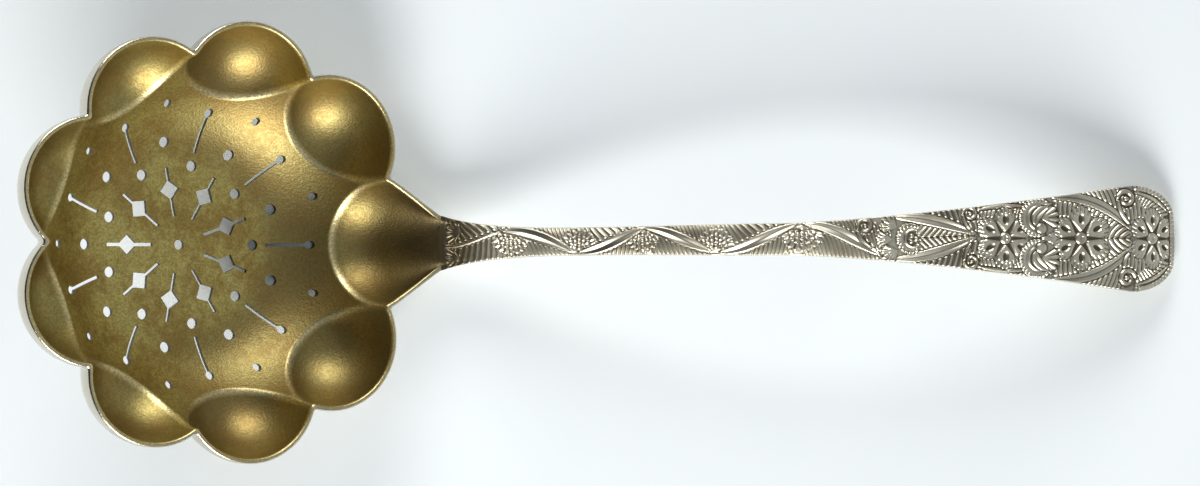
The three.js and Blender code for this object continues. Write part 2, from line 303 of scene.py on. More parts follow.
class Finish:
    """The node tree of one material or of the world, grown node by node."""

    MIX_COLOUR_INPUTS = (6, 7)
    MIX_COLOUR_OUTPUT = 2

    def __init__(self, owner):
        owner.use_nodes = True
        self.owner = owner
        self.tree = owner.node_tree
        self.tree.nodes.clear()

    def node(self, kind, settings=None, feeds=None):
        """A new node, with its settings made first and its sockets then set or linked."""
        made = self.tree.nodes.new(kind)
        for key, value in (settings or {}).items():
            setattr(made, key, value)
        for key, value in (feeds or {}).items():
            self.feed(made.inputs[key], value)
        return made

    def feed(self, socket, value):
        """Sets a socket to a plain value or links it to a signal."""
        if isinstance(value, Signal):
            self.tree.links.new(value.socket, socket)
        else:
            socket.default_value = value

    def signal(self, made, output):
        """One output of a node as a signal."""
        return Signal(self, made.outputs[output])

    def math(self, operation, first, second):
        """A Math node of two values."""
        return self.signal(self.node("ShaderNodeMath", {"operation": operation}, {0: first, 1: second}), 0)

    def mix(self, first, second, part):
        """Two colours mixed by a part."""
        low, high = self.MIX_COLOUR_INPUTS
        feeds = {0: part, low: solid(first), high: solid(second)}
        made = self.node("ShaderNodeMix", {"data_type": "RGBA"}, feeds)
        return self.signal(made, self.MIX_COLOUR_OUTPUT)

    def place(self):
        """Each point's place on the spoon, in metres."""
        return self.signal(self.node("ShaderNodeTexCoord"), "Object")

    def component(self, coordinate, axis):
        """One component of a texture coordinate."""
        vector = self.signal(self.node("ShaderNodeTexCoord"), coordinate)
        return self.signal(self.node("ShaderNodeSeparateXYZ", None, {"Vector": vector}), axis)

    def attribute(self, name):
        """A number stored with the mesh."""
        return self.signal(self.node("ShaderNodeAttribute", {"attribute_name": name}), "Fac")

    def noise(self, place, size, detail):
        """Soft noise whose patches are about size across."""
        feeds = {"Vector": place, "Scale": 1 / size, "Detail": detail}
        return self.signal(self.node("ShaderNodeTexNoise", None, feeds), "Fac")

    def stretched(self, place, scale):
        """A place stretched along its axes."""
        feeds = {"Vector": place, "Scale": scale}
        return self.signal(self.node("ShaderNodeMapping", None, feeds), "Vector")

    def between(self, value, low, high):
        """A value's rise from 0 at low to 1 at high."""
        settings = {"interpolation_type": "SMOOTHSTEP"}
        return self.signal(self.node("ShaderNodeMapRange", settings, {0: value, 1: low, 2: high}), 0)

    def bump(self, height, strength, distance):
        """A normal that follows a small height."""
        feeds = {"Height": height, "Strength": strength, "Distance": distance}
        return self.signal(self.node("ShaderNodeBump", None, feeds), "Normal")

    def surface(self, feeds):
        """Ends the tree in one shader with these sockets."""
        shader = self.node("ShaderNodeBsdfPrincipled", None, feeds)
        self.node("ShaderNodeOutputMaterial", None, {"Surface": self.signal(shader, "BSDF")})
        return self.owner


def solid(value):
    """A colour as a socket takes it: a signal as it is, three numbers with full alpha."""
    return value if isinstance(value, Signal) else (*value, 1.0)


def bowl_finish(colours):
    """Satin gilding inside and bare silver outside, with painted shade in the lobes, on the side towards
    the neck, at the joint and on the piercings' walls, and a pale rim and crests, worn gilding with a
    painted highlight along the crests.
    """
    finish = Finish(bpy.data.materials.new("gilt_and_silver"))
    place = finish.place()
    gilded = finish.attribute("gilded")
    crest = finish.attribute("crest")
    # The attribute deep holds painted shade, strongest in the lobes near the neck and on the dish's side
    # towards the neck
    deep = finish.attribute("deep")
    sawn = finish.attribute("sawn")
    cloud = finish.noise(place, size=8 * MM, detail=3.0)
    patch = finish.noise(place, size=1.1 * MM, detail=4.0)
    grain = finish.noise(place, size=0.34 * MM, detail=2.0)
    dull = finish.between(cloud * 0.65 + patch * 0.35, 0.4, 0.61) * 0.95
    gold = finish.mix(colours.gilt, colours.gilt_brown, dull)
    # Painted shade: the lobes and the dish's side towards the neck take a darker gilt, with random coppery
    # patches
    coppery = finish.between(cloud * 0.6 + patch * 0.4, 0.42, 0.6) * 0.35
    side = finish.mix(colours.gilt_painted_shade, colours.gilt_painted_shade_coppery, coppery)
    gold = finish.mix(gold, side, deep * 0.85)
    # Painted shade: the gilt darkens towards the joint
    gold = finish.mix(gold, colours.gilt_joint_shade, finish.attribute("joint_shade"))
    # Pale crests and rim: worn gilding, and a painted highlight along the crests
    gold = finish.mix(gold, colours.gilt_worn_and_highlight, crest * 0.9)
    toned = finish.mix(colours.silver_shade, colours.silver, finish.between(cloud, 0.45, 0.65) * 0.35)
    metal = finish.mix(toned, gold, gilded)
    speckle = finish.between(grain, 0.35, 0.65)
    metal = finish.mix(metal, colours.gilt_dark, (1 - speckle) * gilded * 0.42)
    # Painted shade on the walls of the piercings
    metal = finish.mix(metal, colours.piercing_wall_shade, sawn)
    rough = 0.2 + gilded * (0.18 + patch * 0.15) - crest * 0.08
    height = grain + finish.noise(place, size=0.7 * MM, detail=2.0) * 0.5
    return finish.surface({
        "Base Color": metal,
        "Metallic": 1.0,
        "Roughness": rough,
        "Normal": finish.bump(height, strength=0.9, distance=0.04 * MM),
    })


def struck_finish(colours):
    """Bright silver on the tops of the relief, dark toning in its recesses, and gilding at the root in a
    colour darkened as painted shade.
    """
    finish = Finish(bpy.data.materials.new("struck_silver"))
    place = finish.place()
    recess = finish.attribute("recess")
    gilded = finish.attribute("gilded")
    cloud = finish.noise(place, size=6 * MM, detail=3.0)
    grain = finish.noise(place, size=0.18 * MM, detail=2.0)
    scratch = finish.noise(finish.stretched(place, (0.06, 1.0, 1.0)), size=0.12 * MM, detail=1.0)
    toned = finish.mix(colours.silver, colours.silver_shade, finish.between(cloud, 0.42, 0.66))
    # The root's gilding takes the joint's painted shade
    metal = finish.mix(toned, colours.gilt_joint_shade, gilded * 0.9)
    dark = finish.between(recess + (grain - 0.5) * 0.25, 0.12, 0.8)
    return finish.surface({
        "Base Color": finish.mix(metal, colours.oxide, dark * 0.9),
        "Metallic": 1.0,
        "Roughness": 0.29 + dark * 0.25 + scratch * 0.08 + gilded * 0.08,
        "Normal": finish.bump(grain * 0.6 + scratch * 0.4, strength=0.1, distance=0.02 * MM),
    })


def solder_finish(colours):
    """A thin line of solder, faintly pitted, gilt where it lies in the bowl's channel, in a gilt darkened
    as painted shade.
    """
    finish = Finish(bpy.data.materials.new("hard_solder"))
    pits = finish.noise(finish.place(), size=0.3 * MM, detail=3.0)
    bare = finish.mix(colours.silver, colours.silver_shade, finish.between(pits, 0.35, 0.65))
    # The gilt top takes the joint's painted shade, with random pits
    gold = finish.mix(colours.gilt_joint_shade, colours.gilt_dark, pits * 0.3)
    return finish.surface({
        "Base Color": finish.mix(bare, gold, finish.attribute("gilded")),
        "Metallic": 1.0,
        "Roughness": 0.3 + pits * 0.15,
        "Normal": finish.bump(pits, strength=0.2, distance=0.02 * MM),
    })


def table_finish(colours):
    """A plain pale board with a faint unevenness."""
    finish = Finish(bpy.data.materials.new("pale_board"))
    cloud = finish.noise(finish.place(), size=60 * MM, detail=2.0)
    return finish.surface({
        "Base Color": finish.mix(colours.table, colours.table_pale, finish.between(cloud, 0.35, 0.65)),
        "Roughness": 0.55,
        "Specular IOR Level": 0.2,
    })


def new_mesh(name, points, faces):
    """A mesh object in the scene from points and faces."""
    mesh = bpy.data.meshes.new(name)
    mesh.from_pydata(points.tolist(), [], faces)
    mesh.validate()
    made = bpy.data.objects.new(name, mesh)
    bpy.context.scene.collection.objects.link(made)
    return made


def points_of(mesh):
    """A mesh's points as an array."""
    points = np.empty(len(mesh.vertices) * 3)
    mesh.vertices.foreach_get("co", points)
    return points.reshape(-1, 3)


def face_vectors(mesh, name):
    """A vector of each face of a mesh as an array."""
    vectors = np.empty(len(mesh.polygons) * 3)
    mesh.polygons.foreach_get(name, vectors)
    return vectors.reshape(-1, 3)


def store(mesh, name, values, domain="POINT"):
    """Keeps one number for each point or face of a mesh."""
    layer = mesh.attributes.new(name, "FLOAT", domain)
    layer.data.foreach_set("value", np.asarray(values, np.float32))


def shade_smooth(mesh, crease):
    """Smooth faces, with edges sharper than a crease angle kept."""
    mesh.polygons.foreach_set("use_smooth", np.ones(len(mesh.polygons), bool))
    mesh.set_sharp_from_angle(angle=crease)


def cut_away(target, cutter):
    """Cuts one closed mesh out of another and removes the cutter."""
    modifier = target.modifiers.new("cut", "BOOLEAN")
    modifier.operation = "DIFFERENCE"
    modifier.solver = "MANIFOLD"
    modifier.object = cutter
    graph = bpy.context.evaluated_depsgraph_get()
    cut = bpy.data.meshes.new_from_object(target.evaluated_get(graph))
    target.modifiers.clear()
    target.data = cut
    bpy.data.objects.remove(cutter)
    if not cut.polygons:
        raise RuntimeError("nothing was left after a cut")


class BowlFrame:
    """Turns the bowl's own frame into the spoon's."""

    def __init__(self, sizes):
        self.cos = math.cos(sizes.tilt)
        self.sin = math.sin(sizes.tilt)
        self.origin = np.zeros(3)
        rest_point = self.to_spoon(np.array([sizes.mount_offset, 0, -sizes.wall]))
        self.origin = np.array(FLOOR_MOUNT["pos_m"]) - rest_point

    def to_spoon(self, points):
        """Points of the bowl's frame in the spoon's frame."""
        x, y, z = np.moveaxis(np.asarray(points, float), -1, 0)
        turned = np.stack([x * self.cos + z * self.sin, y, z * self.cos - x * self.sin], axis=-1)
        return turned + self.origin


class BowlSkin:
    """One face of the bowl's sheet: how far it lies from the middle of the mouth, in each direction.

    A direction is an azimuth round the mouth, from the neck, and a dip below the plane of the rim.
    """

    BISECTIONS = 44
    FAR = 60 * MM
    LEAST_DIP = math.radians(0.4)
    GREATEST_DIP = math.radians(60)

    def __init__(self, sizes, thickness, end_half, end_depth, overrun):
        pitch = 2 * math.pi / sizes.lobe_count
        across = sizes.lobe_centre * math.sin(pitch / 2)
        cusp = sizes.lobe_centre * math.cos(pitch / 2) + math.sqrt(sizes.lobe_radius ** 2 - across ** 2)
        self.pitch = pitch
        self.floor_radius = sizes.floor_radius
        self.rim_radius = cusp + thickness
        self.depth = sizes.depth + thickness
        self.exponent = sizes.dish_exponent
        self.lobe_centre = sizes.lobe_centre
        self.lobe_radius = sizes.lobe_radius + thickness
        self.lobe_depth = sizes.lobe_depth + thickness
        self.crest_width = sizes.crest_width
        self.joint = joint_place(sizes)
        self.end_half = end_half
        self.end_depth = end_depth
        self.end = self.joint + overrun

    def bisect(self, inside, low, high):
        """The reach at which a test changes from inside to outside."""
        for _ in range(self.BISECTIONS):
            middle = (low + high) / 2
            held = inside(middle)
            low = np.where(held, middle, low)
            high = np.where(held, high, middle)
        return low

    def dish(self, dip):
        """Reach to the round dish, which has a flat floor and a full side."""
        level = np.cos(dip)
        down = np.sin(dip)

        def inside(reach):
            out = np.maximum(reach * level - self.floor_radius, 0) / (self.rim_radius - self.floor_radius)
            return out ** self.exponent + (reach * down / self.depth) ** self.exponent < 1

        return self.bisect(inside, np.zeros_like(dip), np.full_like(dip, self.FAR))

    def lobe(self, turn, dip):
        """Reach to the lobe whose middle is turned from the direction."""
        level = np.cos(dip)
        square = (level / self.lobe_radius) ** 2 + (np.sin(dip) / self.lobe_depth) ** 2
        middle = self.lobe_centre * level * np.cos(turn) / self.lobe_radius ** 2
        rest = (self.lobe_centre / self.lobe_radius) ** 2 - 1
        root = middle ** 2 - square * rest
        return np.where(root > 0, (middle + np.sqrt(np.maximum(root, 0))) / square, 0)

    def drawn_out(self, x, semi_across, end_height):
        """Half the height of the front lobe, whose outline leaves it by a tangent to the joint."""
        end_along = (self.joint - self.lobe_centre) / self.lobe_radius
        end_across = end_height / semi_across
        touch = math.atan2(end_across, end_along) + math.acos(1 / math.hypot(end_along, end_across))
        along = (x - self.lobe_centre) / self.lobe_radius
        part = np.clip((along - math.cos(touch)) / (end_along - math.cos(touch)), 0, 1)
        straight = lerp(math.sin(touch), end_across, part)
        return semi_across * np.where(along <= math.cos(touch), arc(along), straight)

    def neck(self, turn, dip):
        """Reach to the front lobe and the neck that it is drawn out into."""
        start = self.lobe(turn, dip)
        level = np.cos(dip)
        just_inside = 0.999

        def inside(reach):
            x = reach * level * np.cos(turn)
            wide = np.maximum(self.drawn_out(x, self.lobe_radius, self.end_half), TINY)
            deep = np.maximum(self.drawn_out(x, self.lobe_depth, self.end_depth), TINY)
            across = reach * level * np.sin(turn) / wide
            return (across ** 2 + (reach * np.sin(dip) / deep) ** 2 < 1) & (x < self.end)

        found = self.bisect(inside, start * just_inside, np.full_like(dip, self.FAR))
        return np.where(start > 0, found, 0)

    def lobes(self, azimuth, dip):
        """Reaches to the nearest lobe and to its neighbour."""
        index = np.round(azimuth / self.pitch)
        turn = azimuth - index * self.pitch
        beside = self.pitch - np.abs(turn)
        nearest = np.where(index == 0, self.neck(turn, dip), self.lobe(turn, dip))
        return nearest, self.lobe(beside, dip)

    def reach(self, azimuth, dip):
        """Reach to the skin, with rounded crests where its parts meet."""
        nearest, beside = self.lobes(azimuth, dip)
        return self.rounded(self.rounded(self.dish(dip), nearest), beside)

    def rounded(self, first, second):
        """The farther of two reaches, with the change between them rounded."""
        near = np.maximum(1 - np.abs(first - second) / self.crest_width, 0)
        return np.maximum(first, second) + self.crest_width * near ** 2 / 4

    def crest(self, azimuth, dip):
        """1 on the crests where the skin's parts meet, falling to 0 beside them."""
        nearest, beside = self.lobes(azimuth, dip)
        apart = np.abs(self.dish(dip) - np.maximum(nearest, beside))
        return np.clip(1 - apart / self.crest_width, 0, 1)

    def crest_dip(self, azimuth):
        """The dip at which a lobe gives way to the dish."""

        def lobed(dip):
            nearest, beside = self.lobes(azimuth, dip)
            return np.maximum(nearest, beside) > self.dish(dip)

        least = np.full_like(azimuth, self.LEAST_DIP)
        greatest = np.full_like(azimuth, self.GREATEST_DIP)
        return np.maximum(self.bisect(lobed, least, greatest), least)

    def floor_dip(self):
        """The dip of the floor's edge."""
        return math.atan2(self.depth, self.floor_radius)


def joint_place(sizes):
    """Distance of the joint from the bowl's axis."""
    return sizes.lobe_centre + sizes.lobe_radius + sizes.neck_length


def bowl_skins(sizes):
    """The inner and the outer skin of the bowl. Both run on past the joint, where they are then cut."""
    overrun = 0.05 * MM
    inner_half = sizes.neck_half_width - sizes.wall
    outer_depth = sizes.channel_depth + sizes.neck_thickness
    inner = BowlSkin(sizes, 0.0, inner_half, sizes.channel_depth, overrun)
    outer = BowlSkin(sizes, sizes.wall, sizes.neck_half_width, outer_depth, overrun + sizes.wall)
    return inner, outer


def rim_azimuths(skin, count):
    """Azimuths that lie at even steps along the rim."""
    finer = 20
    fine = np.linspace(-math.pi, math.pi, finer * count + 1)
    reach = skin.reach(fine, np.zeros_like(fine))
    x = reach * np.cos(fine)
    y = reach * np.sin(fine)
    travelled = np.concatenate([[0], np.cumsum(np.hypot(np.diff(x), np.diff(y)))])
    return np.interp(np.arange(count) * travelled[-1] / count, travelled, fine)


def skin_rings(skin, azimuths, lobe_rings, dish_rings, floor_rings):
    """Rings of points of a skin from the rim down to the floor, with one ring along the crests."""
    crest = skin.crest_dip(azimuths)
    floor = skin.floor_dip()
    dips = []
    for step in range(lobe_rings):
        dips.append(crest * eased(step, lobe_rings))
    for step in range(dish_rings):
        dips.append(lerp(crest, floor, eased(step, dish_rings)))
    for step in range(floor_rings):
        across = skin.floor_radius * (1 - step / floor_rings)
        dips.append(np.full_like(azimuths, math.atan2(skin.depth, across)))
    return [polar_points(skin, azimuths, dip) for dip in dips]


def polar_points(skin, azimuths, dip):
    """Points of a skin relative to the middle of the mouth."""
    reach = skin.reach(azimuths, dip)
    level = reach * np.cos(dip)
    return np.stack([level * np.cos(azimuths), level * np.sin(azimuths), -reach * np.sin(dip)], axis=-1)


def bead_rings(inner_rim, outer_rim, count, joint):
    """Rings over the half-round edge of the sheet, lower where the neck meets the handle."""
    middle = (inner_rim + outer_rim) / 2
    half = np.linalg.norm(outer_rim - inner_rim, axis=1) / 2
    lowered_over = 6 * MM
    lift = half * lerp(0.9, 0.1, smoothstep(middle[:, 0], joint - lowered_over, joint))
    rings = []
    for step in range(1, count):
        turn = math.pi * step / count
        ring = middle + (inner_rim - middle) * math.cos(turn)
        ring[:, 2] += lift * math.sin(turn)
        rings.append(ring)
    return rings


def closed_rings(rings, first_pole, last_pole):
    """Points and faces of a closed skin through rings that run from pole to pole."""
    count = len(rings[0])
    points = np.concatenate([*rings, first_pole[None], last_pole[None]])
    here = np.arange(count)
    after = (here + 1) % count
    first = len(rings) * count
    faces = np.stack([here, after, np.full(count, first)], axis=1).tolist()
    for ring in range(len(rings) - 1):
        low = ring * count
        high = low + count
        faces += np.stack([low + after, low + here, high + here, high + after], axis=1).tolist()
    last = (len(rings) - 1) * count
    faces += np.stack([last + after, last + here, np.full(count, first + 1)], axis=1).tolist()
    return points, faces


def shell(sizes):
    """The bowl's sheet with its neck running on past the joint."""
    inner, outer = bowl_skins(sizes)
    azimuths = rim_azimuths(outer, RIM_POINTS)
    inside = skin_rings(inner, azimuths, *INNER_RINGS)
    outside = skin_rings(outer, azimuths, *OUTER_RINGS)
    bead = bead_rings(inside[0], outside[0], BEAD_RINGS, inner.joint)
    rings = [*reversed(inside), *bead, *outside]
    inner_pole = np.array([0.0, 0.0, -inner.depth])
    outer_pole = np.array([0.0, 0.0, -outer.depth])
    points, faces = closed_rings(rings, inner_pole, outer_pole)
    points[:, 2] += sizes.depth
    return new_mesh("bowl", points, faces)


def circle(radius, centre):
    """A round outline about a centre on the X axis."""
    return round_points((centre, 0), radius, np.arange(HOLE_SIDES) * 2 * math.pi / HOLE_SIDES)


def star_outline(sizes):
    """A lozenge with a slit through it from end to end."""
    half = sizes.slit_width / 2
    near = sizes.star_at - sizes.star_half + half
    far = sizes.star_at + sizes.star_half - half
    side = [
        (sizes.star_inner, half),
        (near, half),
        (sizes.star_at, sizes.star_half),
        (far, half),
        (sizes.star_outer, half),
    ]
    return np.array([(x, -y) for x, y in side] + side[::-1])


def keyhole_outline(sizes):
    """A slit that ends in a round head."""
    half = sizes.slit_width / 2
    radius = sizes.keyhole_head / 2
    opening = math.asin(half / radius)
    turns = np.linspace(opening - math.pi, math.pi - opening, HEAD_SIDES)
    head = round_points((sizes.keyhole_at, 0), radius, turns)
    slit = np.array([(sizes.keyhole_inner, half), (sizes.keyhole_inner, -half)])
    return np.concatenate([head, slit])


def piercing_outlines(sizes):
    """Every piercing as an outline in the plane of the floor."""
    pitch = 2 * math.pi / sizes.lobe_count
    between = [
        star_outline(sizes),
        circle(sizes.round_hole / 2, sizes.outer_hole_at),
        circle(sizes.edge_hole / 2, sizes.edge_hole_at),
    ]
    facing = [keyhole_outline(sizes), circle(sizes.round_hole / 2, sizes.inner_hole_at)]
    outlines = [circle(sizes.centre_hole / 2, 0)]
    for index in range(sizes.lobe_count):
        outlines += [turned(outline, (index + 0.5) * pitch) for outline in between]
        outlines += [turned(outline, index * pitch) for outline in facing]
    return outlines


def turned(outline, turn):
    """An outline turned about the bowl's axis."""
    cos = math.cos(turn)
    sin = math.sin(turn)
    return outline @ np.array([[cos, sin], [-sin, cos]])


def prisms(outlines, low, high):
    """Upright prisms on outlines, as one mesh."""
    points = []
    faces = []
    for outline in outlines:
        count = len(outline)
        start = len(points)
        points += [(x, y, low) for x, y in outline]
        points += [(x, y, high) for x, y in outline]
        faces.append([start + corner for corner in reversed(range(count))])
        faces.append([start + count + corner for corner in range(count)])
        for corner in range(count):
            after = (corner + 1) % count
            faces.append([start + corner, start + after, start + count + after, start + count + corner])
    return np.array(points), faces


def joint_cutter(sizes):
    """A block that takes off everything past the joint."""
    near = joint_place(sizes)
    reach = 12 * MM
    outline = np.array([(near, -reach), (near + reach, -reach), (near + reach, reach), (near, reach)])
    return prisms([outline], 0.0, 2 * sizes.depth)


def mark_bowl(mesh, sizes):
    """Stores where the bowl is gilded, where painted shade falls in its lobes, towards its neck and at its
    joint, where its crests are and which faces were sawn.
    """
    floor = sizes.floor_radius
    sawn_slope = 0.08
    rim_worn = 0.6
    inner, _ = bowl_skins(sizes)
    points = points_of(mesh) - np.array([0, 0, sizes.depth])
    reach = np.linalg.norm(points, axis=1)
    azimuth = np.arctan2(points[:, 1], points[:, 0])
    dip = np.arcsin(np.clip(-points[:, 2] / np.maximum(reach, TINY), 0, 1))
    outwards = (reach - inner.reach(azimuth, dip)) / sizes.wall
    from_axis = np.hypot(points[:, 0], points[:, 1])
    store(mesh, "gilded", 1 - smoothstep(outwards, 0.5, 1.0))
    # crest carries worn gilding on the rim and a painted highlight along the crests
    rim = smoothstep(points[:, 2], -0.5 * sizes.wall, -0.1 * sizes.wall)
    store(mesh, "crest", np.maximum(inner.crest(azimuth, dip), rim_worn * rim))
    # Painted shade, stored as deep: the dish's side towards the neck and the lobes, more so nearer the neck
    side = smoothstep(from_axis, 0.9 * floor, 1.4 * floor)
    side = side * smoothstep(points[:, 0], -0.6 * floor, 0.6 * floor)
    lobed = smoothstep(inner.reach(azimuth, dip) - inner.dish(dip), 0.25 * sizes.wall, sizes.wall)
    neckward = smoothstep(points[:, 0], -1.3 * floor, 0.2 * floor)
    store(mesh, "deep", np.maximum(side, lobed * lerp(0.7, 1, neckward)))
    joint = joint_place(sizes)
    # Painted shade that darkens the gilt towards the joint
    store(mesh, "joint_shade", smoothstep(points[:, 0], joint - 3 * sizes.neck_length, joint))
    normals = face_vectors(mesh, "normal")
    centres = face_vectors(mesh, "center")
    upright = np.abs(normals[:, 2]) < sawn_slope
    within = np.hypot(centres[:, 0], centres[:, 1]) < sizes.edge_hole_at + sizes.edge_hole
    store(mesh, "sawn", upright & within, "FACE")


def make_bowl(sizes, colours):
    """The pierced bowl, set in the spoon."""
    bowl = shell(sizes)
    cut_away(bowl, new_mesh("joint_cutter", *joint_cutter(sizes)))
    drills = prisms(piercing_outlines(sizes), -3 * sizes.wall, sizes.depth)
    cut_away(bowl, new_mesh("piercings", *drills))
    mesh = bowl.data
    mark_bowl(mesh, sizes)
    mesh.vertices.foreach_set("co", BowlFrame(sizes).to_spoon(points_of(mesh)).ravel())
    mesh.materials.clear()
    mesh.materials.append(bowl_finish(colours))
    mesh.polygons.foreach_set("material_index", np.zeros(len(mesh.polygons), np.int32))
    shade_smooth(mesh, BOWL_CREASE)
    mesh.update()
    bowl.name = "pierced_bowl"
    return bowl


class HandleForm:
    """The plain form of the handle: its outline, arch and section."""

    ROOT_EDGE = 0.08 * MM

    def __init__(self, sizes, bowl):
        self.sizes = sizes
        self.root_half = bowl.neck_half_width
        self.channel_half = bowl.neck_half_width - bowl.wall
        self.channel_depth = bowl.channel_depth
        self.root_thickness = bowl.neck_thickness
        self.root_rounding = bowl.channel_depth + bowl.neck_thickness - self.ROOT_EDGE
        self.tilt = bowl.tilt
        joint = np.array([joint_place(bowl) + bowl.solder_gap, 0, bowl.depth - bowl.channel_depth])
        self.joint = BowlFrame(bowl).to_spoon(joint)
        rise = self.channel_rise(bowl) - bowl.tilt
        third = sizes.reach / 3
        end = sizes.end_thickness * math.cos(sizes.end_drop) - self.joint[2]
        self.heights = (third * math.tan(rise), end + third * math.tan(sizes.end_drop), end)

    def channel_rise(self, bowl):
        """Slope of the neck's channel at the joint, in the bowl's frame."""
        inner, _ = bowl_skins(bowl)
        back = inner.drawn_out(np.array(inner.joint - bowl.neck_length), inner.lobe_depth, inner.end_depth)
        return math.atan2(float(back) - bowl.channel_depth, bowl.neck_length)

    def half_width(self, x):
        """Half the handle's width."""
        sizes = self.sizes
        flaring = np.clip(1 - x / sizes.waist_at, 0, 1)
        root = lerp(sizes.waist_half, self.root_half, flaring ** sizes.root_flare)
        stem = lerp(sizes.waist_half, sizes.shoulder_half, smoothstep(x, sizes.waist_at, sizes.shoulder_at))
        widening = np.clip((x - sizes.shoulder_at) / (sizes.widest_at - sizes.shoulder_at), 0, 1)
        blade = lerp(sizes.shoulder_half, sizes.end_half, widening ** sizes.end_flare)
        closing = np.clip((x - sizes.widest_at) / (sizes.reach - sizes.widest_at), 0, 1)
        end = lerp(sizes.end_flat_half, sizes.end_half, arc(closing))
        limits = [x < sizes.waist_at, x < sizes.shoulder_at, x < sizes.widest_at]
        return np.select(limits, [root, stem, blade], end)

    def spine(self, x):
        """Height of the handle's line above the joint, and its slope."""
        first, second, last = self.heights
        part = x / self.sizes.reach
        rest = 1 - part
        height = 3 * rest ** 2 * part * first + 3 * rest * part ** 2 * second + part ** 3 * last
        slope = 3 * rest ** 2 * first + 6 * rest * part * (second - first) + 3 * part ** 2 * (last - second)
        return height, slope / self.sizes.reach

    def free(self, x):
        """0 at the joint, 1 where the root's channel has faded out."""
        return smoothstep(x, 0, self.sizes.root_blend)

    def along(self, x):
        """0 on the stem, 1 at the end."""
        return smoothstep(x, self.sizes.shoulder_at, self.sizes.reach)

    def top(self, x, across):
        """Height of the plain face above the handle's line."""
        reach = np.minimum(1, np.abs(across) * self.root_half / self.channel_half)
        channel = self.channel_depth * (1 - arc(reach))
        crown = lerp(self.sizes.stem_crown, self.sizes.end_crown, self.along(x))
        return lerp(channel, -crown * across ** 2, self.free(x))

    def back(self, x, across):
        """Height of the back, below the handle's line."""
        free = self.free(x)
        along = self.along(x)
        sizes = self.sizes
        thickness = lerp(lerp(self.root_thickness, sizes.stem_thickness, free), sizes.end_thickness, along)
        rounding = lerp(self.root_rounding, lerp(sizes.stem_rounding, sizes.end_rounding, along), free)
        return -thickness + rounding * (1 - arc(across))

    def points(self, x, y, up):
        """Points at a height square to the handle's line."""
        height, slope = self.spine(x)
        lean = lerp(self.tilt, -np.arctan(slope), self.free(x))
        return self.joint + np.stack([x + up * np.sin(lean), y, height + up * np.cos(lean)], axis=-1)


